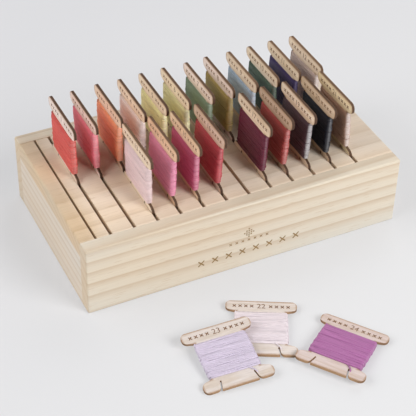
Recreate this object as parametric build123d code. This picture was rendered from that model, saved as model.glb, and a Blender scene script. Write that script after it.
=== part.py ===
from build123d import *
import math
import os

# A pine box whose grooved top files flat floss bobbins on edge, with three more bobbins lying in
# front of it. Millimetres. The origin is the middle of the box's underside, +X runs along the long
# front, +Y goes to the back and +Z is up.

# --- box -------------------------------------------------------------------------------------
BOX_LENGTH = 183.0
BOX_WIDTH = 105.5
BOX_HEIGHT = 42.0
LONG_BOARD = 8.0            # thickness of the front and rear boards
END_BOARD = 8.0             # thickness of the two end boards
TOP_PANEL = 9.0             # thickness of the grooved top
BASE_PANEL = 4.0            # thickness of the plywood base
BASE_LEDGE = 4.0            # how far the base reaches into every board
EDGE_EASE = 1.0             # rounding of the outer edges
JOINT_BEVEL = 0.35          # small bevel along both glue lines of the top

DOWEL_DIAMETER = 4.0
DOWEL_LENGTH = 20.0
DOWEL_IN_LONG_BOARD = 5.0   # how deep a dowel sits in the front or rear board
DOWEL_EDGE_DISTANCE = 9.0   # from the underside, and from the underside of the top
DOWEL_GLUE_GAP = 0.5        # room left past each end of a dowel

# --- bobbin card, lying with its feet towards -Y ---------------------------------------------
CARD_WIDTH = 37.0
CARD_HEIGHT = 38.0
CARD_THICKNESS = 1.5
HEAD_BAR = 7.5              # height of the bar above the thread
FOOT_BAR = 7.5              # height of the bar below the thread
WAIST_WIDTH = 25.5          # what the thread is wound on
SHOULDER = 1.5              # how far each bar tapers towards its ends
BAR_ROUND = 2.8
WAIST_ROUND = 0.8
SLIT_OFFSET = 10.0          # from the middle of the foot bar to each slit that holds a thread end
SLIT_WIDTH = 0.8
SLIT_DEPTH = 5.5
SLIT_SLANT = 12.0           # degrees
SLIT_MOUTH = 2.6            # rounding that leads a thread into the slit

# --- wound floss -----------------------------------------------------------------------------
FULL_LAYER = 1.35           # depth of floss on each face of a full bobbin
THIN_LAYER = 0.95           # the same on a bobbin that is partly used
EDGE_BUILD = 1.5            # how much deeper the floss is round the edges of the waist
WINDING_ROUND = 0.35        # rounding of the winding, as a share of its thickness

# --- grooves ---------------------------------------------------------------------------------
CARD_CLEARANCE = 0.12       # on each face of a card in its groove
GROOVE_DEPTH = 4.2
GROOVE_PITCH = 13.0
GROOVE_COUNT = 12
NARROW_GROOVE_WIDTH = 1.3   # the groove nearest the left end, too narrow for a card
NARROW_GROOVE_MARGIN = 8.9  # from the left face to the narrow groove
FIRST_GROOVE_GAP = 8.2      # from the narrow groove to the first card groove

# --- bobbins standing in the grooves ---------------------------------------------------------
ROWS_MEET_Y = -1.0          # where the two rows meet
ROW_GAP = 1.1               # between the rows
SHUFFLE = 0.35              # how unevenly the bobbins are pushed along their grooves
WALL_GAP = 0.02             # left at each wall by a bobbin that leans as far as its groove lets it

# The bobbin in each groove, and how far it leans to the right as a share of what the groove allows.
REAR_ROW = {
    1: ("coral", -0.3),
    2: ("raspberry", -0.9),
    3: ("orange", -0.2),
    4: ("dusty_rose", -0.2),
    5: ("yellow", -0.4),
    6: ("lime", -0.35),
    7: ("teal", 0.0),
    8: ("olive", -0.4),
    9: ("steel_blue", 0.1),
    10: ("forest_green", 0.0),
    11: ("indigo", 0.25),
    12: ("taupe", 0.45),
}
FRONT_ROW = {
    3: ("blush", -0.3),
    4: ("magenta", 0.6),
    5: ("crimson", 0.2),
    6: ("scarlet", 1.0),
    8: ("burgundy", 1.0),
    9: ("brick", 1.0),
    10: ("aubergine", 1.0),
    11: ("navy", 0.6),
    12: ("chocolate", -1.0),
}

# --- loose bobbins ---------------------------------------------------------------------------
# One lies flat in front of the box. The other two lean on its near corners and are placed from
# the edges of its card.
REST_GAP = 0.3              # between a bobbin and the one it leans on
FLAT_X = -16.3
FLAT_AHEAD = 47.5           # from the front face of the box
FLAT_TURN = -27.5
LILAC_INSET = 1.7           # from the left edge of the flat card in to the middle of this one
LILAC_AHEAD = 2.8           # from the near edge of the flat card out to the middle of this one
LILAC_TWIST = 22.9
VIOLET_LAP = 2.5            # how far its corner reaches in over the right edge of the flat card
VIOLET_AHEAD = 2.6          # how far that corner reaches out past the near edge
VIOLET_TWIST = -25.5

# --- sizes that follow -----------------------------------------------------------------------
GROOVE_WIDTH = CARD_THICKNESS + 2 * CARD_CLEARANCE
GROOVE_LENGTH = BOX_WIDTH - 2 * LONG_BOARD
INNER_LENGTH = BOX_LENGTH - 2 * END_BOARD
TOP_UNDERSIDE = BOX_HEIGHT - TOP_PANEL
GROOVE_FLOOR = BOX_HEIGHT - GROOVE_DEPTH
NARROW_GROOVE_X = NARROW_GROOVE_MARGIN - BOX_LENGTH / 2
FIRST_GROOVE_X = NARROW_GROOVE_X + FIRST_GROOVE_GAP
WOUND_HEIGHT = CARD_HEIGHT - HEAD_BAR - FOOT_BAR
WOUND_MIDDLE = (FOOT_BAR - HEAD_BAR) / 2


def groove_x(number):
    """Middle of a card groove, counted from 1 at the left."""
    return FIRST_GROOVE_X + (number - 1) * GROOVE_PITCH


def block(length, width, height, x=0.0, y=0.0, bottom=0.0):
    """A plain block by its length, width, height, middle and underside."""
    return Pos(x, y, bottom + height / 2) * Box(length, width, height)


# --- box pieces ------------------------------------------------------------------------------
def box_envelope():
    """The outside of the box with its edges eased: every board is trimmed by it."""
    envelope = block(BOX_LENGTH, BOX_WIDTH, BOX_HEIGHT)
    return fillet(envelope.edges(), EDGE_EASE)


def base_panel(grow=0.0):
    """Plywood base, flush with the undersides of the boards."""
    length = INNER_LENGTH + 2 * BASE_LEDGE
    width = GROOVE_LENGTH + 2 * BASE_LEDGE
    return block(length, width, BASE_PANEL + grow, bottom=-grow)


def dowel_places():
    """Middle of each dowel where it crosses the joint, with the side of the box it is on."""
    x = BOX_LENGTH / 2 - END_BOARD / 2
    y = GROOVE_LENGTH / 2
    heights = (DOWEL_EDGE_DISTANCE, TOP_UNDERSIDE - DOWEL_EDGE_DISTANCE)
    return [(sx * x, sy * y, z, sy) for sx in (-1, 1) for sy in (-1, 1) for z in heights]


def corner_dowels(gap=0.0):
    """Two dowels in every corner, from the front and rear boards into the end boards."""
    outward_shift = DOWEL_IN_LONG_BOARD - DOWEL_LENGTH / 2
    dowel = Rot(X=90) * Cylinder(DOWEL_DIAMETER / 2, DOWEL_LENGTH + 2 * gap)
    return [Pos(x, y + side * outward_shift, z) * dowel for x, y, z, side in dowel_places()]


def bored(board):
    """A board with the holes for the corner dowels."""
    for dowel in corner_dowels(gap=DOWEL_GLUE_GAP):
        board -= dowel
    return board


def long_board(side):
    """Front (-1) or rear (+1) board: it runs the whole length and hides the end boards."""
    y = side * (BOX_WIDTH - LONG_BOARD) / 2
    board = block(BOX_LENGTH, LONG_BOARD, BOX_HEIGHT, y=y) & box_envelope()
    return bored(board - base_panel(grow=1.0))


def end_board(side):
    """Left (-1) or right (+1) board, between the long boards and under the top."""
    x = side * (BOX_LENGTH - END_BOARD) / 2
    board = block(END_BOARD, GROOVE_LENGTH, TOP_UNDERSIDE, x=x) & box_envelope()
    return bored(board - base_panel(grow=1.0))


def slotted_top():
    """Top panel between the long boards, grooved from edge to edge."""
    panel = block(BOX_LENGTH, GROOVE_LENGTH, TOP_PANEL, bottom=TOP_UNDERSIDE)
    glue_lines = panel.edges().filter_by(Axis.X).group_by(Axis.Z)[-1]
    panel = chamfer(glue_lines, JOINT_BEVEL) & box_envelope()
    grooves = [(groove_x(number), GROOVE_WIDTH) for number in range(1, GROOVE_COUNT + 1)]
    grooves.append((NARROW_GROOVE_X, NARROW_GROOVE_WIDTH))
    for x, width in grooves:
        panel -= block(width, BOX_WIDTH, TOP_PANEL, x=x, bottom=GROOVE_FLOOR)
    return panel


# --- bobbin pieces ---------------------------------------------------------------------------
def card_outline():
    """Two bars joined by a waist, with rounded bar ends."""
    bar_end = CARD_WIDTH / 2
    waist = WAIST_WIDTH / 2
    head = CARD_HEIGHT / 2
    right = [
        (bar_end, -head),
        (bar_end, -head + FOOT_BAR - SHOULDER),
        (waist, -head + FOOT_BAR),
        (waist, head - HEAD_BAR),
        (bar_end, head - HEAD_BAR + SHOULDER),
        (bar_end, head),
    ]
    left = [(-x, y) for x, y in reversed(right)]
    outline = make_face(Polyline(*right, *left, close=True))
    between = (bar_end + waist) / 2
    thinner_bar = min(HEAD_BAR, FOOT_BAR) - SHOULDER
    bar_round = min(BAR_ROUND, 0.47 * thinner_bar)
    outline = fillet(outline.vertices().filter_by(lambda v: abs(v.X) > between), bar_round)
    inner = outline.vertices().filter_by(lambda v: abs(abs(v.X) - waist) < 0.01)
    return fillet(inner, WAIST_ROUND)


def slit(side):
    """Slanted cut from the foot edge, on the left (-1) or right (+1) of the middle."""
    cut = Pos(0, SLIT_DEPTH / 2) * Rectangle(SLIT_WIDTH, 3 * SLIT_DEPTH)
    cut -= Pos(0, 2 * SLIT_DEPTH) * Rectangle(SLIT_DEPTH, 2 * SLIT_DEPTH)
    place = Pos(side * SLIT_OFFSET, -CARD_HEIGHT / 2)
    return place * Rot(Z=side * SLIT_SLANT) * cut


def bobbin_card():
    """Flat wooden bobbin with its middle at the origin, its feet towards -Y and its face up."""
    outline = card_outline() - slit(-1) - slit(1)
    slit_edge = SLIT_OFFSET + SLIT_WIDTH / 2 / math.cos(math.radians(SLIT_SLANT))
    mouths = outline.vertices().filter_by(
        lambda v: abs(abs(v.X) - slit_edge) < 0.01 and abs(v.Y + CARD_HEIGHT / 2) < 0.01
    )
    outline = fillet(mouths, SLIT_MOUTH)
    return extrude(outline, CARD_THICKNESS / 2, both=True)


def winding_width(layer):
    """Width of the winding over the edges of the waist."""
    return WAIST_WIDTH + 2 * EDGE_BUILD * layer


def winding(card, layer):
    """Floss wound round the waist of a card."""
    thickness = CARD_THICKNESS + 2 * layer
    wound = Pos(0, WOUND_MIDDLE) * Box(winding_width(layer), WOUND_HEIGHT, thickness)
    wound = fillet(wound.edges().filter_by(Axis.Y), WINDING_ROUND * thickness)
    return wound - card


# --- places of the bobbins -------------------------------------------------------------------
def full_lean():
    """Degrees that a card can lean either way in its groove."""
    play = GROOVE_WIDTH - CARD_THICKNESS - 2 * WALL_GAP
    return math.degrees(math.asin(play / GROOVE_DEPTH))


def standing(number, row, share):
    """Place of a bobbin in a groove, row -1 in front and +1 behind.

    It leans about the middle of the groove's depth and stands on one edge of its feet.
    """
    push = SHUFFLE * math.sin(2.4 * number + row)
    y = ROWS_MEET_Y + row * (ROW_GAP + CARD_WIDTH) / 2 + push
    lean = share * full_lean()
    s = abs(math.sin(math.radians(lean)))
    c = math.cos(math.radians(lean))
    drop = (GROOVE_DEPTH / 2 - s * CARD_THICKNESS / 2) / c
    leaning = Pos(groove_x(number), y, GROOVE_FLOOR + GROOVE_DEPTH / 2) * Rot(Y=lean)
    return leaning * Pos(0, 0, CARD_HEIGHT / 2 - drop) * Rot(Z=-90) * Rot(X=90)


def half_reach(width, height, twist):
    """From the middle of a turned rectangle to its furthest corner, square to the lean axis."""
    angle = math.radians(twist)
    return abs(math.sin(angle)) * width / 2 + abs(math.cos(angle)) * height / 2


def footings(twist, layer):
    """Reach and depth, from the middle of the card, of what a leaning bobbin can stand on."""
    half_card = CARD_THICKNESS / 2
    card_reach = half_reach(CARD_WIDTH, CARD_HEIGHT, twist)
    floss_reach = half_reach(winding_width(layer), WOUND_HEIGHT, twist)
    return [(card_reach, half_card), (floss_reach, half_card + layer)]


def lean_over(reach, rise, under, twist, layer):
    """Degrees that a bobbin leans to clear a rise.

    reach is how far past the middle of the card the rise is, and under how far the underside
    there is below the middle of the card.
    """
    slopes = [(rise + under - depth) / (foot + reach) for foot, depth in footings(twist, layer)]
    return math.degrees(math.asin(min(slopes)))


def lying(across, along, twist, layer, lean=0.0, axis=0.0):
    """Place of a loose bobbin, leaning about an axis that is turned from the flat bobbin's."""
    s = abs(math.sin(math.radians(lean)))
    c = math.cos(math.radians(lean))
    z = max(s * foot + c * depth for foot, depth in footings(twist - axis, layer))
    pile = Pos(FLAT_X, -BOX_WIDTH / 2 - FLAT_AHEAD) * Rot(Z=FLAT_TURN)
    return pile * Pos(across, along, z) * Rot(Z=axis) * Rot(X=lean) * Rot(Z=twist - axis)


def lilac_place():
    """Over the near left corner of the flat bobbin, leaning on the whole near edge of its card."""
    across = LILAC_INSET - CARD_WIDTH / 2
    along = -CARD_HEIGHT / 2 - LILAC_AHEAD
    rise = THIN_LAYER + CARD_THICKNESS + REST_GAP
    under = CARD_THICKNESS / 2 + THIN_LAYER
    lean = lean_over(LILAC_AHEAD, rise, under, LILAC_TWIST, THIN_LAYER)
    return lying(across, along, LILAC_TWIST, THIN_LAYER, lean)


def violet_place():
    """Over the near right corner of the flat bobbin, with its feet lifted."""
    angle = math.radians(VIOLET_TWIST)
    out = half_reach(CARD_HEIGHT, CARD_WIDTH, VIOLET_TWIST) - VIOLET_LAP
    corner = math.cos(angle) * CARD_HEIGHT / 2 + math.sin(angle) * CARD_WIDTH / 2
    back = corner - VIOLET_AHEAD
    reach = back * math.cos(angle) - out * math.sin(angle) - BAR_ROUND
    rise = THIN_LAYER + CARD_THICKNESS + REST_GAP
    lean = -lean_over(reach, rise, CARD_THICKNESS / 2, 0.0, FULL_LAYER)
    across = CARD_WIDTH / 2 + out
    along = back - CARD_HEIGHT / 2
    return lying(across, along, VIOLET_TWIST, FULL_LAYER, lean, VIOLET_TWIST)


# --- assembly --------------------------------------------------------------------------------
def box_nodes():
    return {
        "front_board": long_board(-1),
        "rear_board": long_board(1),
        "left_end_board": end_board(-1),
        "right_end_board": end_board(1),
        "slotted_top": slotted_top(),
        "base_panel": base_panel(),
        "corner_dowels": Compound(children=corner_dowels()),
    }


def bobbin_places():
    """Every bobbin's name with its place and the depth of its floss."""
    places = {}
    for row, bobbins in ((1, REAR_ROW), (-1, FRONT_ROW)):
        for number, (colour, share) in bobbins.items():
            places[colour] = (standing(number, row, share), FULL_LAYER)
    places["shell_pink"] = (lying(0.0, 0.0, 0.0, THIN_LAYER), THIN_LAYER)
    places["lilac"] = (lilac_place(), THIN_LAYER)
    places["violet"] = (violet_place(), FULL_LAYER)
    return places


def bobbin_nodes():
    card = bobbin_card()
    windings = {layer: winding(card, layer) for layer in (FULL_LAYER, THIN_LAYER)}
    nodes = {}
    for colour, (place, layer) in bobbin_places().items():
        nodes[colour + "_card"] = place * card
        nodes[colour + "_floss"] = place * windings[layer]
    return nodes


os.makedirs("parts", exist_ok=True)
for name, shape in {**box_nodes(), **bobbin_nodes()}.items():
    export_step(shape, os.path.join("parts", name + ".step"))
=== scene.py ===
import math
import random

import bpy
from mathutils import Matrix, Vector


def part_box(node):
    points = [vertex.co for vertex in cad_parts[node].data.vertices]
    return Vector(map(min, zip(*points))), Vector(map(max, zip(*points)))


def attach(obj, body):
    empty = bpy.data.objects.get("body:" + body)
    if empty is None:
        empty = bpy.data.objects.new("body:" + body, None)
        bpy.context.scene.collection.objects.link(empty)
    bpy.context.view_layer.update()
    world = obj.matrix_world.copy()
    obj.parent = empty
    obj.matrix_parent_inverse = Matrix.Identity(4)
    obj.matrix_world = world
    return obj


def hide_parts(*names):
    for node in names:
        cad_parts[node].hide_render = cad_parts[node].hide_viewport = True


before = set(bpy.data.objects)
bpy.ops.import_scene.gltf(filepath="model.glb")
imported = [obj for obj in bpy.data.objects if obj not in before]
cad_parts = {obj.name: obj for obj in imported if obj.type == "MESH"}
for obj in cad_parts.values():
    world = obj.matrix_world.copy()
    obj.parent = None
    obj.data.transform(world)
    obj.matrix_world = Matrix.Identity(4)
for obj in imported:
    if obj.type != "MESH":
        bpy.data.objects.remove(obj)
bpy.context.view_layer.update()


# ---- camera ----------------------------------------------------------------------------------
# A long lens from the front left and well above, so that the whole top with its two rows of
# bobbins is seen together with the front board and the loose bobbins before it.
AZIMUTH = math.radians(-26.585)
ELEVATION = math.radians(39.883)
ROLL = math.radians(1.439)
LENS, SENSOR = 116.62, 36.0                     # mm
STANDPOINT = Vector((-0.25957, -0.52272, 0.48721))    # m

away = Vector((-math.sin(AZIMUTH) * math.cos(ELEVATION),
               math.cos(AZIMUTH) * math.cos(ELEVATION), -math.sin(ELEVATION)))
camera = bpy.data.objects.new("camera", bpy.data.cameras.new("camera"))
camera.data.lens = LENS
camera.data.sensor_width = SENSOR
camera.data.clip_start = 0.01
camera.rotation_mode = "QUATERNION"
camera.rotation_quaternion = (away.to_track_quat("-Z", "Y")
                              @ Matrix.Rotation(ROLL, 3, "Z").to_quaternion())
camera.location = STANDPOINT
bpy.context.scene.collection.objects.link(camera)
bpy.context.scene.camera = camera
bpy.context.scene.view_settings.view_transform = "Standard"


# ---- floor and light -------------------------------------------------------------------------
# A sheet of smooth matt paper, cool white, lies under everything. The light is a studio's: soft
# boxes at the front right and the left, and two weaker ones behind, in a dim pale surround.
MM = 0.001                                      # m
# The painted falloff of light on the paper: its tone near the strongest lamp and far from it.
PAPER_NEAR, PAPER_FAR = "#EDEDEE", "#D8D8DC"
PAPER_TONE, TONE_SHARE = "#E0E0E1", 0.5
TOWARDS_LAMP = (0.45, -0.9, 0.0)                # over the paper, to the strongest soft box
FADE = (-0.2, 0.25)                             # m along that way, from far paper to near
TOOTH = 900.0                                   # hollows in a metre, 1.1 mm each
FLOOR_REACH = 6.0                               # m each way, past every view
SURROUND, SURROUND_STRENGTH = "#F9FAFF", 0.03


def linear(colour):
    """An sRGB hex colour as linear red, green, blue and alpha."""
    parts = [int(colour[i:i + 2], 16) / 255 for i in (1, 3, 5)]
    return [p / 12.92 if p <= 0.04045 else ((p + 0.055) / 1.055) ** 2.4 for p in parts] + [1.0]


def add(tree, kind, inputs=None, out=0, stops=None, **settings):
    """Adds one node and gives one of its outputs.

    inputs holds a value, or the output that feeds it, for each socket. stops are a colour
    ramp's places and colours.
    """
    node = tree.nodes.new("ShaderNode" + kind)
    for name, value in settings.items():
        setattr(node, name, value)
    for socket, value in (inputs or {}).items():
        if isinstance(value, bpy.types.NodeSocket):
            tree.links.new(value, node.inputs[socket])
        else:
            node.inputs[socket].default_value = value
    if stops:
        ramp = node.color_ramp
        while len(ramp.elements) < len(stops):
            ramp.elements.new(0.5)
        for element, (place, colour) in zip(ramp.elements, stops):
            element.position = place
            element.color = linear(colour)
    return node.outputs[out]


def new_material(name):
    material = bpy.data.materials.new(name)
    material.use_nodes = True
    material.node_tree.nodes.clear()
    return material, material.node_tree


def shade(tree, colour, roughness, height=None, relief=0.0, **fixed):
    """Ends a material in its shader. relief is the height of the bump in mm."""
    inputs = {"Base Color": colour, "Roughness": roughness}
    inputs.update({name.replace("_", " "): value for name, value in fixed.items()})
    if height is not None:
        inputs["Normal"] = add(tree, "Bump", {"Height": height, "Distance": relief * MM,
                                              "Strength": 1.0})
    surface = add(tree, "BsdfPrincipled", inputs)
    tree.links.new(surface, tree.nodes.new("ShaderNodeOutputMaterial").inputs["Surface"])
    return surface


# Matt coated paper: no gloss, and a painted falloff of light, a shade greyer away from the lamp.
# Half of what is seen of it is an even glow of its own pale tone, which keeps its shadows light.
paper, tree = new_material("matt_white_paper")
place = add(tree, "TexCoord", out="Object")
across = add(tree, "VectorMath", {0: place, 1: TOWARDS_LAMP}, out="Value",
             operation="DOT_PRODUCT")
near = add(tree, "MapRange", {0: across, 1: FADE[0], 2: FADE[1]})
lit = shade(tree, add(tree, "ValToRGB", {0: near}, stops=[(0.0, PAPER_FAR), (1.0, PAPER_NEAR)]),
            0.9, add(tree, "TexNoise", {"Vector": place, "Scale": TOOTH}), 0.01,
            Specular_IOR_Level=0.2)
rays = [add(tree, "LightPath", out=ray)
        for ray in ("Is Camera Ray", "Is Glossy Ray", "Is Transmission Ray")]
seen = add(tree, "Math", {0: rays[0], 1: rays[1]}, operation="MAXIMUM")
seen = add(tree, "Math", {0: seen, 1: rays[2]}, operation="MAXIMUM")
tone = add(tree, "Emission", {"Color": linear(PAPER_TONE), "Strength": 1.0})
share = add(tree, "Math", {0: seen, 1: TONE_SHARE}, operation="MULTIPLY")
both = add(tree, "MixShader", {0: share, 1: lit, 2: tone})
tree.links.new(both, tree.nodes["Material Output"].inputs["Surface"])
corners = [(x * FLOOR_REACH, y * FLOOR_REACH, 0.0)
           for x, y in ((-1, -1), (1, -1), (1, 1), (-1, 1))]
sheet = bpy.data.meshes.new("paper_floor")
sheet.from_pydata(corners, [], [(0, 1, 2, 3)])
sheet.materials.append(paper)
floor = bpy.data.objects.new("paper_floor", sheet)
bpy.context.scene.collection.objects.link(floor)

world = bpy.data.worlds.new("studio")
bpy.context.scene.world = world
world.use_nodes = True
surround = world.node_tree.nodes["Background"]
surround.inputs["Color"].default_value = linear(SURROUND)
surround.inputs["Strength"].default_value = SURROUND_STRENGTH

LAMPS = {                                       # watts, size in m, place in m
    "soft_box_right": (34.0, 1.0, (0.78, -1.42, 1.18)),
    "soft_box_left": (24.0, 1.3, (-1.66, -0.03, 1.12)),
    "soft_box_rear_right": (12.5, 1.4, (1.15, 1.01, 1.29)),
    "soft_box_rear_left": (8.5, 1.3, (-1.07, 1.07, 1.31)),
}
for name, (watts, size, stand) in LAMPS.items():
    lamp = bpy.data.lights.new(name, "AREA")
    lamp.energy = watts
    lamp.size = size
    lamp_object = bpy.data.objects.new(name, lamp)
    lamp_object.location = stand
    lamp_object.rotation_mode = "QUATERNION"
    lamp_object.rotation_quaternion = (-Vector(stand)).to_track_quat("-Z", "Y")
    bpy.context.scene.collection.objects.link(lamp_object)


# ---- boards of the box -----------------------------------------------------------------------
# Solid pine, planed and sanded and left bare. The long boards and the top run from end to end,
# the end boards stand between them, and glued dowels hold the corners. Fast-grown rings show as
# wide straight bands along each face and as arcs on the sawn ends.
EARLYWOOD = "#E3DAC9"
LATEWOOD = "#CDB79B"
END_GRAIN = "#C6AA86"                           # the sawn ends, and the resin ducts
YEAR = [(0.0, "#404040"), (0.1, "#101010"), (0.45, "#303030"), (0.82, "#D0D0D0"),
        (0.93, "#FFFFFF"), (1.0, "#404040")]    # slowly darker, then a quick step back
DRIFT = (3.0, 16.0, 16.0)                       # per m: rings stray over 33 cm along, 6 cm across
PATCH = (7.0, 30.0, 30.0)                       # per m: warm and cool spots, 14 cm by 3 cm
WARM, COOL = "#FFF8F0", "#F7FAFF"
FIBRE = (35.0, 0.55)                            # mm along and across, coarser than real ones
PITCH_POCKET = (7.0, 0.5)                       # mm, short dark resin ducts


def pine(name, turned, pith, tilt, ring, wander, contrast, pale=EARLYWOOD, ends=0.45,
         top_marks=None):
    """Bare pine cut from one log. pith is a point on the log's middle line, in mm.

    turned says that the grain runs along Y, and tilt is the log's slope against the board in
    degrees. ring is the width of a year in mm, and wander how many years it strays. contrast is
    the depth of the dark late wood, pale the early wood's colour, and ends how far the sawn ends
    darken. The last argument adds the tan lips, the darker left end and the painted groove shade.
    """
    material, tree = new_material(name)
    place = add(tree, "TexCoord", out="Object")
    turn = math.radians(90) if turned else 0.0
    log = add(tree, "Mapping", {"Vector": place, "Location": [p * MM for p in pith],
                                "Rotation": (0.0, math.radians(tilt), turn)},
              vector_type="TEXTURE")
    drift = add(tree, "TexNoise", {
        "Vector": add(tree, "Mapping", {"Vector": log, "Scale": DRIFT}),
        "Scale": 1.0, "Detail": 2.0})
    radius = add(tree, "VectorMath", {
        0: add(tree, "VectorMath", {0: log, 1: (0.0, 1.0, 1.0)}, operation="MULTIPLY")},
        out="Value", operation="LENGTH")
    years = add(tree, "Math", {0: drift, 1: wander, 2: add(tree, "Math", {
        0: radius, 1: 1.0 / (ring * MM)}, operation="MULTIPLY")}, operation="MULTIPLY_ADD")
    season = add(tree, "ValToRGB", {0: add(tree, "Math", {0: years}, operation="FRACT")},
                 stops=YEAR)
    year_tone = add(tree, "MapRange", {
        0: add(tree, "TexWhiteNoise", {"W": add(tree, "Math", {0: years}, operation="FLOOR")},
               noise_dimensions="1D"), 3: 0.55 * contrast, 4: contrast})
    bands = add(tree, "Math", {0: season, 1: year_tone}, operation="MULTIPLY")
    fibre = add(tree, "TexNoise", {
        "Vector": add(tree, "Mapping", {"Vector": log, "Scale": (
            1 / (FIBRE[0] * MM), 1 / (FIBRE[1] * MM), 1 / (FIBRE[1] * MM))}),
        "Scale": 1.0, "Detail": 3.0, "Roughness": 0.6})
    pocket = add(tree, "MapRange", {0: add(tree, "TexNoise", {
        "Vector": add(tree, "Mapping", {"Vector": log, "Scale": (
            1 / (PITCH_POCKET[0] * MM), 1 / (PITCH_POCKET[1] * MM), 1 / (PITCH_POCKET[1] * MM))}),
        "Scale": 1.0, "Detail": 0.0}), 1: 0.70, 2: 0.80, 3: 0.0, 4: 0.35})
    patch = add(tree, "TexNoise", {
        "Vector": add(tree, "Mapping", {"Vector": log, "Scale": PATCH}),
        "Scale": 1.0, "Detail": 1.0})
    colour = add(tree, "MixRGB", {0: bands, 1: linear(pale), 2: linear(LATEWOOD)})
    grey = add(tree, "MapRange", {0: fibre, 1: 0.3, 2: 0.7, 3: 0.95, 4: 1.03})
    colour = add(tree, "MixRGB", {0: 1.0, 1: colour, 2: grey}, blend_type="MULTIPLY")
    tint = add(tree, "ValToRGB", {0: patch}, stops=[(0.3, WARM), (0.7, COOL)])
    colour = add(tree, "MixRGB", {0: 1.0, 1: colour, 2: tint}, blend_type="MULTIPLY")
    colour = add(tree, "MixRGB", {0: pocket, 1: colour, 2: linear(END_GRAIN)})
    facing = add(tree, "SeparateXYZ", {0: add(tree, "TexCoord", out="Normal")},
                 out="Y" if turned else "X")
    sawn = add(tree, "MapRange", {0: add(tree, "Math", {0: facing}, operation="ABSOLUTE"),
                                  1: 0.5, 2: 0.9, 3: 0.0, 4: ends})
    colour = add(tree, "MixRGB", {0: sawn, 1: colour, 2: linear(END_GRAIN)})
    if top_marks:
        colour = top_marks(tree, place, fibre, colour)
    shade(tree, colour, add(tree, "MapRange", {0: fibre, 3: 0.52, 4: 0.68}),
          add(tree, "Math", {0: fibre, 1: 0.7, 2: bands}, operation="MULTIPLY_ADD"), 0.035,
          IOR=1.5, Specular_IOR_Level=0.35)
    return material


def dress(node, material):
    """Gives a CAD node its finish."""
    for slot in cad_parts[node].material_slots:
        slot.material = material


dress("front_board", pine("bare_pine_front", turned=False, pith=(0, -28, -13), tilt=0.45,
                          ring=6.1, wander=0.5, contrast=0.85))
dress("rear_board", pine("bare_pine_rear", turned=False, pith=(0, 92, 70), tilt=-0.3,
                         ring=5.2, wander=0.7, contrast=0.75))
dress("left_end_board", pine("bare_pine_left", turned=True, pith=(-60, 0, -40), tilt=0.0,
                             ring=4.6, wander=0.7, contrast=0.75, pale="#E0D5C6"))
dress("right_end_board", pine("bare_pine_right", turned=True, pith=(52, 0, 95), tilt=0.0,
                              ring=5.4, wander=0.6, contrast=0.9))


# ---- grooved top -----------------------------------------------------------------------------
# The same pine, ringed more finely, and darker towards its left end. The grooves are sawn with a
# thin blade, which leaves a fine tan line along each lip. Their walls are bare near the top and
# darker brown further down, a painted shade that deepens with depth.
# A tint that darkens the top towards its left end.
LEFT_END_TINT, LEFT_END_SHARE = "#E6DDCC", 0.85
LEFT_END_LEAD = 3.0                                # mm left of the narrow groove, still in full
TOASTED, LIP_SHARE = "#B8966E", 0.3
# The painted shade in the grooves: a brown that darkens their walls with depth.
GROOVE_SHADE, GROOVE_SHADE_PALE, GROOVE_SHADE_SHARE = "#7A583F", "#9A7859", 0.34
LIP = 0.4                                       # mm of tan beside each groove
WALL = 0.3                                      # mm from a groove, and still its wall
SHADE_START, SHADE_FULL = 0.6, 3.4                       # mm below the face, where the painted shade starts and where it is full
FLOOR_BELOW = 4.2                               # mm from the top face down to a groove's floor
FAR_OFF = 100.0                                 # mm, past any groove

top_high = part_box("slotted_top")[1]
walls = sorted({round(v.co.x / MM, 2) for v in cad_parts["slotted_top"].data.vertices
                if abs(v.co.z - top_high.z + FLOOR_BELOW * MM) < 0.01 * MM})
(narrow_x, narrow_half), (first_x, groove_half), (second_x, _) = [
    ((low + high) / 2, (high - low) / 2) for low, high in zip(walls[:6:2], walls[1:6:2])]
groove_pitch = second_x - first_x
groove_count = len(walls) // 2 - 1
last_x = first_x + (groove_count - 1) * groove_pitch


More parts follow.
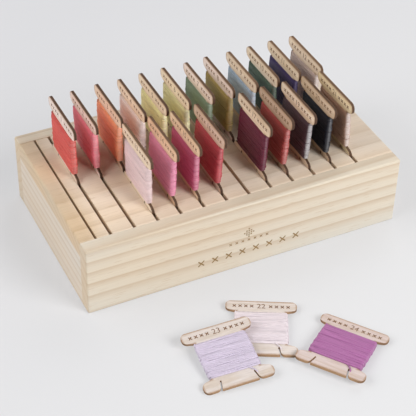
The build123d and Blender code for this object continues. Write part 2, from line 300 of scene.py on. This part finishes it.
def toasted_grooves(tree, place, fibre, colour):
    """Darkens the left end; tans the lips and paints shade down the walls near each groove."""
    point = add(tree, "VectorMath", {0: place, "Scale": 1 / MM}, operation="SCALE")
    x, z = (add(tree, "SeparateXYZ", {0: point}, out=axis) for axis in "XZ")

    # The distance to the nearest of the even grooves, and to the narrow one.
    steps = add(tree, "Math", {0: x, 1: 1 / groove_pitch, 2: 0.5 - first_x / groove_pitch},
                operation="MULTIPLY_ADD")
    share = add(tree, "Math", {0: steps}, operation="FRACT")
    share = add(tree, "Math", {0: share, 1: 0.5}, operation="SUBTRACT")
    share = add(tree, "Math", {0: share}, operation="ABSOLUTE")
    wide = add(tree, "Math", {0: share, 1: groove_pitch, 2: -groove_half},
               operation="MULTIPLY_ADD")
    before = add(tree, "Math", {0: x, 1: first_x - groove_pitch / 2}, operation="LESS_THAN")
    wide = add(tree, "Math", {0: before, 1: FAR_OFF, 2: wide}, operation="MULTIPLY_ADD")
    past = add(tree, "Math", {0: x, 1: last_x + groove_pitch / 2}, operation="GREATER_THAN")
    wide = add(tree, "Math", {0: past, 1: FAR_OFF, 2: wide}, operation="MULTIPLY_ADD")
    narrow = add(tree, "Math", {0: x, 1: narrow_x}, operation="SUBTRACT")
    narrow = add(tree, "Math", {0: narrow}, operation="ABSOLUTE")
    narrow = add(tree, "Math", {0: narrow, 1: narrow_half}, operation="SUBTRACT")
    away_from = add(tree, "Math", {0: wide, 1: narrow}, operation="MINIMUM")

    # Darker towards the left end, fading out by the first even groove.
    left_darkening = add(tree, "MapRange", {0: x, 1: narrow_x - LEFT_END_LEAD, 2: first_x,
                                   3: LEFT_END_SHARE, 4: 0.0})
    colour = add(tree, "MixRGB", {0: left_darkening, 1: colour, 2: linear(LEFT_END_TINT)},
                 blend_type="MULTIPLY")
    lip = add(tree, "MapRange", {0: away_from, 1: 0.0, 2: LIP, 3: LIP_SHARE, 4: 0.0})
    colour = add(tree, "MixRGB", {0: lip, 1: colour, 2: linear(TOASTED)})
    # The walls are painted a brown shade that deepens below the face.
    below = add(tree, "MapRange", {0: z, 1: top_high.z / MM - SHADE_START, 2: top_high.z / MM - SHADE_FULL,
                                   3: 0.0, 4: GROOVE_SHADE_SHARE})
    inside = add(tree, "Math", {0: away_from, 1: WALL}, operation="LESS_THAN")
    wall_shade = add(tree, "Math", {0: below, 1: inside}, operation="MULTIPLY")
    shade_colour = add(tree, "MixRGB", {0: fibre, 1: linear(GROOVE_SHADE), 2: linear(GROOVE_SHADE_PALE)})
    return add(tree, "MixRGB", {0: wall_shade, 1: colour, 2: shade_colour})


dress("slotted_top", pine("bare_pine_top", turned=False, pith=(0, 12, -55), tilt=0.25, ring=4.2,
                          wander=0.8, contrast=0.6, pale="#ECDDCA", ends=0.0,
                          top_marks=toasted_grooves))


# ---- base and dowels -------------------------------------------------------------------------
# The base is a thin birch plywood panel let into the boards, seen only from below. The dowels
# are ribbed beech, glued in and hidden.
FIGURE = (12.0, 70.0, 70.0)                     # per m: 8 cm by 14 mm
PORES = (150.0, 1800.0, 1800.0)                 # per m: 7 mm by 0.6 mm, coarser than real ones


def birch_or_beech(name, pale, dark):
    """Bare hardwood: a long wavering figure and fine pores, without clear rings."""
    material, tree = new_material(name)
    place = add(tree, "TexCoord", out="Object")
    figure = add(tree, "TexNoise", {
        "Vector": add(tree, "Mapping", {"Vector": place, "Scale": FIGURE}),
        "Scale": 1.0, "Detail": 4.0, "Distortion": 0.8})
    pores = add(tree, "TexNoise", {
        "Vector": add(tree, "Mapping", {"Vector": place, "Scale": PORES}),
        "Scale": 1.0, "Detail": 2.0})
    figure = add(tree, "Math", {0: figure, 1: 0.8}, operation="MULTIPLY")
    both = add(tree, "Math", {0: pores, 1: 0.35, 2: figure}, operation="MULTIPLY_ADD")
    shade(tree, add(tree, "ValToRGB", {0: both}, stops=[(0.35, pale), (0.75, dark)]),
          0.6, pores, 0.03, IOR=1.5, Specular_IOR_Level=0.35)
    return material


dress("base_panel", birch_or_beech("birch_plywood_base", "#E2CDAA", "#CDB08A"))
dress("corner_dowels", birch_or_beech("beech_dowel", "#D9B48C", "#BE9268"))


# ---- mark on the front board -----------------------------------------------------------------
# Plain cross stitches etched into the pine by laser, a small diamond over two rows. The etched
# wood is toasted light brown and lies level with the face.
ETCH_DEPTH = 0.03                               # mm, so thin that it reads as a tint
ETCHED, ETCHED_DEEP = "#A58A60", "#8C7048"
ETCHED_FIBRE = (60.0, 1500.0, 1500.0)           # per m: 17 mm by 0.7 mm
STITCH_ROWS = [                                 # count, first, pitch, height, size, stroke, in mm
    (8, -27.5, 8.05, 10.9, 3.9, 0.75),
    (7, -10.5, 3.6, 17.9, 1.7, 0.42),
]
DIAMOND = (0.2, 22.9)                           # mm, its middle
DIAMOND_PITCH, DIAMOND_STITCH, DIAMOND_STROKE = 1.3, 1.05, 0.36    # mm
TIP = 0.3                                       # strokes, the point at each end of one
RAISED = 0.15                                   # of the depth, as crossed strokes share no plane

# Toasted fibre: matt, darker in the soft wood between the hard lines.
etched, tree = new_material("laser_etched_pine")
grain = add(tree, "TexNoise", {
    "Vector": add(tree, "Mapping", {"Vector": add(tree, "TexCoord", out="Object"),
                                    "Scale": ETCHED_FIBRE}),
    "Scale": 1.0, "Detail": 3.0})
shade(tree, add(tree, "ValToRGB", {0: grain}, stops=[(0.35, ETCHED_DEEP), (0.7, ETCHED)]),
      0.8, grain, 0.05, IOR=1.5, Specular_IOR_Level=0.2)


def solid(name, verts, faces, material, smooth=False):
    """A mesh object from points in metres."""
    mesh = bpy.data.meshes.new(name)
    mesh.from_pydata(verts, [], faces)
    mesh.materials.append(material)
    mesh.polygons.foreach_set("use_smooth", [smooth] * len(mesh.polygons))
    mesh.update()
    made = bpy.data.objects.new(name, mesh)
    bpy.context.scene.collection.objects.link(made)
    return made


def stitch(verts, faces, x, y, size, stroke):
    """Adds one X-shaped stitch, in mm, ETCH_DEPTH thick and standing on its own plane."""
    reach = (size - stroke) / 2
    for side in (-1, 1):
        across = Vector((side * stroke / 2, stroke / 2)) * math.sqrt(0.5)
        ends = [Vector((-reach, side * reach)), Vector((reach, -side * reach))]
        ring = []
        for end, way in zip(ends, (-1, 1)):
            tip = Vector((way, -way * side)) * stroke * TIP
            ring += [end - way * across * side, end + tip, end + way * across * side]
        start = len(verts)
        for level in (0.0, ETCH_DEPTH * (1.0 + RAISED * side)):
            verts.extend(((x + p.x) * MM, (y + p.y) * MM, level * MM) for p in ring)
        count = len(ring)
        faces.append([start + i for i in reversed(range(count))])
        faces.append([start + count + i for i in range(count)])
        for i in range(count):
            j = (i + 1) % count
            faces.append([start + i, start + j, start + count + j, start + count + i])


verts, faces = [], []
for count, first, pitch, height, size, stroke in STITCH_ROWS:
    for i in range(count):
        stitch(verts, faces, first + i * pitch, height, size, stroke)
for i in range(-2, 3):
    for j in range(-2, 3):
        if abs(i) + abs(j) <= 2:
            stitch(verts, faces, DIAMOND[0] + i * DIAMOND_PITCH, DIAMOND[1] + j * DIAMOND_PITCH,
                   DIAMOND_STITCH, DIAMOND_STROKE)
front_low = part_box("front_board")[0]
mark = solid("front_stitches", verts, faces, etched)
mark.matrix_world = (Matrix.Translation((0.0, front_low.y, 0.0))
                     @ Matrix.Rotation(math.radians(90), 4, "X"))
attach(mark, "box")


# ---- bobbin cards ----------------------------------------------------------------------------
# Flat bobbins laser-cut from 1.5 mm three-ply poplar. The cut leaves every edge charred dark
# brown, with the middle ply a shade darker, and a thin toasted line along each face.
FACE_PLY, FACE_PLY_FIGURE = "#EFDDD4", "#DDC5B1"
TOAST, TOAST_REACH = "#A27A54", 0.8             # mm in from the cut
CHAR, CHAR_LIGHT = "#34241B", "#614636"
CUT_TAN = "#C09A74"                             # where a quick cut hardly burns
HALF_WIDTH, HALF_HEIGHT, HALF_WAIST, HALF_WOUND = 18.5, 19.0, 12.75, 11.5    # mm
VENEER_FIGURE = (0.03, 0.35, 0.35)              # per mm: 33 mm by 3 mm
VENEER_PORES = (0.25, 2.2, 2.2)                 # per mm: 4 mm by 0.5 mm
RAGGED = 0.9                                    # per mm: the toast's edge strays every 1.1 mm
LASER_MARKS = (2.6, 2.6, 0.25)                  # per mm: 0.4 mm apart, through all three plies

# The cards in the order of their numbers: the tint of the veneer, since sheets differ a little,
# and how much of the cut edge is char. The last three were cut quickly and hardly burnt.
BOBBINS = {
    "coral": ("#FFFFFF", 0.95), "raspberry": ("#FFFFFF", 0.95), "orange": ("#FAF2DE", 0.95),
    "dusty_rose": ("#FFFFEF", 0.95), "yellow": ("#FFFFEF", 0.95), "lime": ("#FFFFEF", 0.9),
    "teal": ("#FFFFFF", 0.9), "olive": ("#FFFFFF", 0.9), "steel_blue": ("#FAFAEB", 0.8),
    "forest_green": ("#FFFFEF", 0.85), "indigo": ("#FFFFEF", 0.8), "taupe": ("#FFFFEF", 0.78),
    "blush": ("#FFFFEF", 0.86), "magenta": ("#FBEBD2", 0.87), "crimson": ("#FFFAE0", 0.86),
    "scarlet": ("#E7DED2", 0.95), "burgundy": ("#FAF8E6", 0.95), "brick": ("#D6C9B8", 0.95),
    "aubergine": ("#FFFFEF", 0.95), "navy": ("#EAE2CE", 0.95), "chocolate": ("#FFFFE0", 0.82),
    "shell_pink": ("#F0F8FC", 0.25), "lilac": ("#EBF2F5", 0.25), "violet": ("#E9E9EE", 0.25),
}


def place_of(card):
    """The card's own axes: X along its width, Y to its head, Z out of its numbered face.

    The head is the longest sharp edge, since slits part the foot bar.
    """
    mesh = card.data
    flat = max(mesh.polygons, key=lambda p: p.area).normal.copy()
    if flat.dot(Vector((-1, 0, 1))) < 0:
        flat.negate()
    beside = {}
    for polygon in mesh.polygons:
        for key in polygon.edge_keys:
            beside.setdefault(key, []).append(polygon.normal)
    longest, head = 0.0, None
    for (a, b), normals in beside.items():
        if len(normals) == 2 and normals[0].dot(normals[1]) > 0.5:
            continue
        length = (mesh.vertices[b].co - mesh.vertices[a].co).length
        if length > longest:
            longest, head = length, (mesh.vertices[a].co.copy(), mesh.vertices[b].co.copy())
    middle = sum((v.co for v in mesh.vertices), Vector()) / len(mesh.vertices)
    along = (head[1] - head[0]).normalized()
    up = flat.cross(along)
    if up.dot(head[0] - middle) < 0:
        up.negate()
    axes = [up.cross(flat), up, flat]
    origin = Vector()
    for axis in axes:
        reach = [v.co.dot(axis) for v in mesh.vertices]
        origin += axis * (min(reach) + max(reach)) / 2
    return Matrix.Translation(origin) @ Matrix(axes).transposed().to_4x4()


def lasered_ply(name, place, seed, tint, burn):
    """Poplar ply seen in the card's own axes, with its own tint and depth of char."""
    material, tree = new_material(name)
    turn = place.to_euler()
    frame_point = add(tree, "TexCoord", out="Object")
    own = add(tree, "Mapping", {"Vector": frame_point, "Location": place.translation,
                                "Rotation": turn}, vector_type="TEXTURE")
    own = add(tree, "VectorMath", {0: own, "Scale": 1 / MM}, operation="SCALE")
    x, y, z = (add(tree, "SeparateXYZ", {0: own}, out=axis) for axis in "XYZ")
    facing = add(tree, "SeparateXYZ", {0: add(tree, "Mapping", {
        "Vector": add(tree, "TexCoord", out="Normal"), "Rotation": turn}, vector_type="TEXTURE")},
        out="Z")
    moved = add(tree, "VectorMath", {0: own, 1: (37.0 * seed, 11.0 * seed, 0.0)})
    figure = add(tree, "TexNoise", {
        "Vector": add(tree, "Mapping", {"Vector": moved, "Scale": VENEER_FIGURE}),
        "Scale": 1.0, "Detail": 3.0, "Distortion": 0.6})
    pores = add(tree, "TexNoise", {
        "Vector": add(tree, "Mapping", {"Vector": moved, "Scale": VENEER_PORES}),
        "Scale": 1.0, "Detail": 2.0})
    colour = add(tree, "ValToRGB", {0: figure}, stops=[(0.35, FACE_PLY), (0.72, FACE_PLY_FIGURE)])
    grey = add(tree, "MapRange", {0: pores, 1: 0.3, 2: 0.7, 3: 1.03, 4: 0.9})
    colour = add(tree, "MixRGB", {0: 1.0, 1: colour, 2: grey}, blend_type="MULTIPLY")
    colour = add(tree, "MixRGB", {0: 1.0, 1: colour, 2: linear(tint)}, blend_type="MULTIPLY")

    # How far inside the outline a point of the face lies, in mm: the larger of the distances
    # inside the two bars and inside the waist.
    wide = add(tree, "Math", {0: x}, operation="ABSOLUTE")
    tall = add(tree, "Math", {0: y}, operation="ABSOLUTE")
    end = add(tree, "Math", {0: HALF_HEIGHT, 1: tall}, operation="SUBTRACT")
    side = add(tree, "Math", {0: HALF_WIDTH, 1: wide}, operation="SUBTRACT")
    shoulder = add(tree, "Math", {0: tall, 1: HALF_WOUND}, operation="SUBTRACT")
    bar = add(tree, "Math", {0: end, 1: side}, operation="MINIMUM")
    bar = add(tree, "Math", {0: bar, 1: shoulder}, operation="MINIMUM")
    waist = add(tree, "Math", {0: HALF_WAIST, 1: wide}, operation="SUBTRACT")
    waist = add(tree, "Math", {0: end, 1: waist}, operation="MINIMUM")
    inside = add(tree, "Math", {0: bar, 1: waist}, operation="MAXIMUM")
    ragged = add(tree, "TexNoise", {"Vector": moved, "Scale": RAGGED, "Detail": 2.0})
    inside = add(tree, "Math", {0: ragged, 1: -0.6, 2: inside}, operation="MULTIPLY_ADD")
    toast = add(tree, "MapRange", {0: inside, 1: -0.2, 2: TOAST_REACH, 3: 0.8, 4: 0.0})
    colour = add(tree, "MixRGB", {0: toast, 1: colour, 2: linear(TOAST)})

    # The cut edge: fine upright laser marks over three plies, the middle one 0.5 mm thick.
    # Towards the bars' ends the edge is darker: partly deeper char, and partly painted shade
    # where the ends of the bars overhang.
    marks = add(tree, "TexNoise", {
        "Vector": add(tree, "Mapping", {"Vector": moved, "Scale": LASER_MARKS}),
        "Scale": 1.0, "Detail": 2.0})
    ply = add(tree, "MapRange", {0: add(tree, "Math", {0: z}, operation="ABSOLUTE"),
                                 1: 0.22, 2: 0.32, 3: 0.0, 4: 0.4})
    tone = add(tree, "Math", {0: marks, 1: 0.6, 2: ply}, operation="MULTIPLY_ADD")
    char = add(tree, "ValToRGB", {0: tone}, stops=[(0.2, CHAR), (0.8, CHAR_LIGHT)])
    tan = 1.0 - burn
    darker_ends = add(tree, "MapRange", {0: wide, 1: 14.0, 2: 17.5, 3: tan, 4: 0.5 * tan})
    char = add(tree, "MixRGB", {0: darker_ends, 1: char, 2: linear(CUT_TAN)})
    cut = add(tree, "MapRange", {0: add(tree, "Math", {0: facing}, operation="ABSOLUTE"),
                                 1: 0.75, 2: 0.55})
    colour = add(tree, "MixRGB", {0: cut, 1: colour, 2: char})
    shade(tree, colour, add(tree, "MapRange", {0: cut, 3: 0.55, 4: 0.8}),
          add(tree, "MixRGB", {0: cut, 1: pores, 2: marks}), 0.05,
          IOR=1.5, Specular_IOR_Level=0.35)
    return material


places = {}
for number, colour in enumerate(BOBBINS, 1):
    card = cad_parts[colour + "_card"]
    places[colour] = place_of(card)
    dress(card.name, lasered_ply("poplar_ply_" + colour, places[colour], number,
                                 *BOBBINS[colour]))


# ---- numbers on the cards --------------------------------------------------------------------
# Each head bar is engraved with the bobbin's number between small cross stitches. The engraving
# is burnt brown and level with the face.
BAR_MIDDLE = 15.25                              # mm from the middle of the card to the bar's
FACE = 0.75                                     # mm from the middle of the card to its face
DIGIT_SIZE = 4.6                                # mm
BAR_FIRST, BAR_PITCH = 4.9, 3.0                 # mm from the bar's middle, and apart
BAR_STITCH, BAR_STROKE = 2.0, 0.55              # mm
ENGRAVED, ENGRAVED_DEEP = "#8E6E53", "#6C4E39"
SPECKLE = 1500.0                                # per m: 0.7 mm, coarser than real ones

# Burnt veneer: matt brown, unevenly speckled.
engraved, tree = new_material("laser_engraved_ply")
grain = add(tree, "TexNoise", {"Vector": add(tree, "TexCoord", out="Object"),
                               "Scale": SPECKLE, "Detail": 2.0})
shade(tree, add(tree, "ValToRGB", {0: grain}, stops=[(0.3, ENGRAVED_DEEP), (0.7, ENGRAVED)]),
      0.85, grain, 0.04, IOR=1.5, Specular_IOR_Level=0.2)

for number, colour in enumerate(BOBBINS, 1):
    letters = bpy.data.curves.new("digits", "FONT")
    letters.body = str(number)
    letters.size = DIGIT_SIZE * MM
    letters.align_x = "CENTER"
    letters.align_y = "CENTER"
    letters.extrude = ETCH_DEPTH / 2 * MM
    letters.resolution_u = 3
    written = bpy.data.objects.new("digits", letters)
    bpy.context.scene.collection.objects.link(written)
    bpy.context.view_layer.update()
    drawn = written.evaluated_get(bpy.context.evaluated_depsgraph_get())
    outline = bpy.data.meshes.new_from_object(drawn)
    verts = [(v.co.x, v.co.y + BAR_MIDDLE * MM, v.co.z + ETCH_DEPTH / 2 * MM)
             for v in outline.vertices]
    faces = [list(p.vertices) for p in outline.polygons]
    bpy.data.objects.remove(written)
    bpy.data.curves.remove(letters)
    bpy.data.meshes.remove(outline)
    for side in (-1, 1):
        for step in range(4):
            stitch(verts, faces, side * (BAR_FIRST + BAR_PITCH * step), BAR_MIDDLE,
                   BAR_STITCH, BAR_STROKE)
    engraving = solid(colour + "_number", verts, faces, engraved)
    engraving.matrix_world = places[colour] @ Matrix.Translation((0.0, 0.0, FACE * MM))
    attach(engraving, colour + "_bobbin")


# ---- floss -----------------------------------------------------------------------------------
# Six-ply mercerised cotton, wound by hand round the waist of each card in close turns that
# spread a little flat. A few later turns lie across the even ones, and the three loose bobbins
# have the thread's end caught in a slit of the foot bar.
TURN_WIDTH, TURN_DEPTH = 1.16, 0.56             # mm, a length of floss flattened by winding
OVERLAP = 0.88                                  # turn widths from one turn to the next
SWAY, RIPPLE, SWELL = 0.13, 0.12, 0.07          # mm that a turn strays up, in itself and out
SPREAD = (0.92, 1.12)                           # turn widths
CROSSING_RISE, CROSSING_DIVE = 0.24, 0.35       # mm above the rest, and below it at the ends
CROSSINGS = (2, 3, 3)                           # one of these numbers is drawn
CROSSING_LOW = (-0.75, 0.45)                    # of the half height, where one starts
CROSSING_CLIMB = (0.9, 2.6)                     # mm up or down over one turn
CROWN = 0.22                                    # mm lost towards the bars
CORE_INSET = 0.12                               # mm from the even turns to the layers below
SIDES = 8                                       # round the thread
SLIT_RUN = [(6.2, -10.6, 0.9), (7.6, -11.7, 1.2), (8.7, -12.6, 1.15), (9.5, -13.5, 1.05),
            (9.95, -14.3, 0.95), (10.2, -15.0, 0.7), (10.25, -15.3, 0.1),
            (10.25, -15.4, -0.65)]              # mm, the thread's end on its way to the slit
END_WIDTH, SLIT_WIDTH, END_DEPTH = 0.75, 0.62, 0.6    # mm
SLIT_POINTS = 3                                 # of the run that are as narrow as the slit
TUCKED = ("shell_pink", "lilac", "violet")      # the bobbins with such an end

# Each dye, and how much white is mixed in as a painted highlight where the floss turns round
# the card's edge.
FLOSS = {
    "coral": ("#DA5950", 0.07), "raspberry": ("#FF8C9C", 0.14), "orange": ("#FFA67A", 0.12),
    "dusty_rose": ("#FFEEE7", 0.16), "yellow": ("#FFF6B6", 0.16), "lime": ("#ECE5B2", 0.1),
    "teal": ("#869A80", 0.03), "olive": ("#B9A15C", 0.08), "steel_blue": ("#B3C8DD", 0.42),
    "forest_green": ("#576D5C", 0.06), "indigo": ("#44366B", 0.0), "taupe": ("#D7C3BA", 0.2),
    "blush": ("#E9CFCF", 0.0), "magenta": ("#EC95B3", 0.0), "crimson": ("#CF5F84", 0.12),
    "scarlet": ("#C0474F", 0.02), "burgundy": ("#691735", 0.0), "brick": ("#B84E49", 0.08),
    "aubergine": ("#56414A", 0.38), "navy": ("#111525", 0.03), "chocolate": ("#BC9682", 0.42),
    "shell_pink": ("#EBDFE4", 0.0), "lilac": ("#D5C9DC", 0.0), "violet": ("#B270A5", 0.03),
}
PLIES, PLY_TWIST = 6, 1.4                       # and radians a mm, a whole twist in 27 mm
FUZZ = 2500.0                                   # per m: 0.4 mm, coarser than real hairs
DYE_CHANGE = 0.03                               # per mm: a shade's slow change over 33 mm


def mercerised_cotton(name, dyed, edge_highlight):
    """Smooth, softly shining cotton: six plies laid side by side with a slow twist.

    Round the card's edge the floss shines more, and white is mixed into its colour as a painted
    highlight, as much as the last argument gives.
    """
    material, tree = new_material(name)
    thread = add(tree, "UVMap", uv_map="thread")
    along, round_it = (add(tree, "SeparateXYZ", {0: thread}, out=axis) for axis in "XY")
    round_it = add(tree, "Math", {0: round_it, 1: PLIES * math.tau}, operation="MULTIPLY")
    twist = add(tree, "Math", {0: along, 1: PLY_TWIST, 2: round_it}, operation="MULTIPLY_ADD")
    plies = add(tree, "MapRange", {0: add(tree, "Math", {0: twist}, operation="SINE"), 1: -1.0})
    place = add(tree, "TexCoord", out="Object")
    fuzz = add(tree, "TexNoise", {"Vector": place, "Scale": FUZZ, "Detail": 2.0})
    change = add(tree, "Math", {0: along, 1: DYE_CHANGE}, operation="MULTIPLY")
    dye = add(tree, "TexNoise", {"W": change, "Scale": 1.0, "Detail": 1.0},
              noise_dimensions="1D")
    # The creases between the plies are a painted shade darker, and the dye changes slowly along
    # the thread.
    grey = add(tree, "Math", {
        0: add(tree, "MapRange", {0: plies, 3: 0.88, 4: 1.03}),
        1: add(tree, "MapRange", {0: dye, 1: 0.25, 2: 0.75, 3: 0.92, 4: 1.08})},
        operation="MULTIPLY")
    colour = add(tree, "MixRGB", {0: 1.0, 1: linear(dyed), 2: grey}, blend_type="MULTIPLY")
    facing = add(tree, "SeparateXYZ", {0: add(tree, "TexCoord", out="Normal")}, out="X")
    sideways = add(tree, "Math", {0: facing}, operation="ABSOLUTE")
    # Where the floss turns round the card's edge, white is mixed in as a painted highlight.
    bend = add(tree, "MapRange", {0: sideways, 1: 0.5, 2: 0.9})
    painted_highlight = add(tree, "Math", {0: bend, 1: edge_highlight}, operation="MULTIPLY")
    colour = add(tree, "MixRGB", {0: painted_highlight, 1: colour, 2: linear("#FFFFFF")})
    height = add(tree, "Math", {0: fuzz, 1: 0.4, 2: plies}, operation="MULTIPLY_ADD")
    shade(tree, colour, add(tree, "MapRange", {0: fuzz, 3: 0.46, 4: 0.54}), height, 0.06,
          IOR=1.53, Specular_IOR_Level=add(tree, "MapRange", {0: bend, 3: 0.5, 4: 1.0}),
          Anisotropic=0.9, Anisotropic_Rotation=0.25,
          Tangent=add(tree, "Tangent", direction_type="UV_MAP", uv_map="thread"))
    return material


def waist_loop(half_wide, half_thick):
    """One turn round the card: place and outward direction in X and Z, and the share of the
    climb to the next turn, which is made behind the card."""
    corner = 0.8 * half_thick
    flat = half_wide - corner
    rise = half_thick - corner
    loop = []
    for i in range(8):
        loop.append((-flat + 2 * flat * i / 7, half_thick, 0.0, 1.0, 0.0))
    for i in range(1, 8):
        angle = math.radians(90 - 180 * i / 8)
        lift = rise if i < 4 else -rise if i > 4 else 0.0
        loop.append((flat + corner * math.cos(angle), lift + corner * math.sin(angle),
                     math.cos(angle), math.sin(angle), 0.0))
    for i in range(8):
        loop.append((flat - 2 * flat * i / 7, -half_thick, 0.0, -1.0, i / 7))
    for i in range(1, 8):
        angle = math.radians(-90 - 180 * i / 8)
        lift = -rise if i < 4 else rise if i > 4 else 0.0
        loop.append((-flat + corner * math.cos(angle), lift + corner * math.sin(angle),
                     math.cos(angle), math.sin(angle), 1.0))
    return loop


def sweep(verts, faces, threads, path, widths, depths, outs):
    """Adds a closed flattened tube along path, with what its UV map needs in threads."""
    start, length = len(verts), 0.0
    for i, point in enumerate(path):
        if i:
            length += (point - path[i - 1]).length
        before, after = path[max(i - 1, 0)], path[min(i + 1, len(path) - 1)]
        along = (after - before).normalized()
        out = (outs[i] - along * outs[i].dot(along)).normalized()
        beside = out.cross(along)
        for s in range(SIDES):
            angle = math.tau * s / SIDES
            verts.append((point + beside * math.sin(angle) * widths[i] / 2
                          + out * math.cos(angle) * depths[i] / 2) * MM)
            threads.append(length)
    for i in range(len(path) - 1):
        for s in range(SIDES):
            t = (s + 1) % SIDES
            a, b = start + i * SIDES, start + (i + 1) * SIDES
            faces.append((a + s, a + t, b + t, b + s))
    faces.append([start + s for s in reversed(range(SIDES))])
    last = start + (len(path) - 1) * SIDES
    faces.append([last + s for s in range(SIDES)])


def wound(colour, seed):
    """Winds one bobbin inside the room that its block of cotton takes in the frame."""
    place = places[colour]
    into = place.inverted()
    reach = [into @ v.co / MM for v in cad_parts[colour + "_floss"].data.vertices]
    half = [max(abs(p[axis]) for p in reach) for axis in range(3)]
    chance = random.Random(seed)
    half_wide = half[0] - CROSSING_RISE - TURN_DEPTH / 2
    half_thick = half[2] - CROSSING_RISE - TURN_DEPTH / 2
    half_tall = half[1] - TURN_WIDTH / 2
    turns = round(2 * half_tall / (TURN_WIDTH * OVERLAP))
    pitch = 2 * half_tall / turns
    loop = waist_loop(half_wide, half_thick)
    verts, faces, threads = [], [], []

    # The even turns, from the foot bar to the head bar.
    sway = [chance.uniform(-SWAY, SWAY) for _ in range(turns + 1)]
    swell = [chance.uniform(-SWELL, SWELL) for _ in range(turns + 1)]
    spread = [chance.uniform(*SPREAD) for _ in range(turns + 1)]
    path, widths, depths, outs = [], [], [], []
    for turn in range(turns):
        for x, z, out_x, out_z, climb in loop:
            y = -half_tall + (turn + climb) * pitch
            y += sway[turn] * (1 - climb) + sway[turn + 1] * climb
            y += RIPPLE * math.sin(x * 0.21 + turn * 1.7 + seed)
            lift = swell[turn] * (1 - climb) + swell[turn + 1] * climb
            lift -= CROWN * abs(y / half_tall) ** 5
            out = Vector((out_x, 0.0, out_z))
            path.append(Vector((x, min(max(y, -half_tall), half_tall), z)) + out * lift)
            outs.append(out)
            widths.append(TURN_WIDTH * (spread[turn] * (1 - climb) + spread[turn + 1] * climb))
            depths.append(TURN_DEPTH)
    sweep(verts, faces, threads, path, widths, depths, outs)

    # The turns that cross them, each going under at both ends.
    for _ in range(chance.choice(CROSSINGS)):
        low = chance.uniform(*CROSSING_LOW) * half_tall
        slope = chance.uniform(*CROSSING_CLIMB) * chance.choice((-1, 1))
        path, widths, depths, outs = [], [], [], []
        # It starts behind the card and laps its own start by a quarter.
        count = len(loop) + 8
        for i in range(count):
            x, z, out_x, out_z, _ = loop[(i + 18) % len(loop)]
            share = i / (count - 1)
            under = max(0.0, 1 - 7 * share, 7 * share - 6)
            out = Vector((out_x, 0.0, out_z))
            y = low + slope * share + 0.2 * math.sin(share * 5 + seed)
            rise = CROSSING_RISE * (1 - under) - CROSSING_DIVE * under
            path.append(Vector((x, y, z)) + out * rise)
            outs.append(out)
            widths.append(TURN_WIDTH * (0.92 - 0.2 * under))
            depths.append(TURN_DEPTH * 0.9)
        sweep(verts, faces, threads, path, widths, depths, outs)

    # The earlier layers under them, which close the gaps between turns.
    start = len(verts)
    core = waist_loop(half_wide - CORE_INSET, half_thick - CORE_INSET)
    for y, inset in ((-half_tall - 0.35, 0.5), (-half_tall - 0.1, 0.15), (half_tall + 0.1, 0.15),
                     (half_tall + 0.35, 0.5)):
        for x, z, out_x, out_z, _ in core:
            verts.append(Vector((x - out_x * inset, y, z - out_z * inset)) * MM)
            threads.append(x)
    count = len(core)
    for ring in range(3):
        for i in range(count):
            j = (i + 1) % count
            a, b = start + ring * count, start + (ring + 1) * count
            faces.append((a + i, a + j, b + j, b + i))
    faces.append([start + i for i in reversed(range(count))])
    faces.append([start + 3 * count + i for i in range(count)])

    if colour in TUCKED:
        # The end leaves the winding, runs over the foot bar and drops into the slit.
        path = [Vector(p) for p in SLIT_RUN]
        count = len(path)
        widths = [END_WIDTH] * (count - SLIT_POINTS) + [SLIT_WIDTH] * SLIT_POINTS
        sweep(verts, faces, threads, path, widths, [END_DEPTH] * count,
              [Vector((0.3, 0.3, 1.0))] * count)

    piece = solid(colour + "_winding", verts, faces,
                  mercerised_cotton("mercerised_floss_" + colour, *FLOSS[colour]), smooth=True)
    uv = piece.data.uv_layers.new(name="thread")
    for polygon in piece.data.polygons:
        for corner in polygon.loop_indices:
            vertex = piece.data.loops[corner].vertex_index
            side = (vertex % SIDES) / SIDES
            if polygon.vertices[0] % SIDES == SIDES - 1 and side == 0:
                side = 1.0
            uv.data[corner].uv = (threads[vertex], side)
    piece.matrix_world = place
    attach(piece, colour + "_bobbin")
    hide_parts(colour + "_floss")


for seed, colour in enumerate(BOBBINS, 1):
    wound(colour, seed)
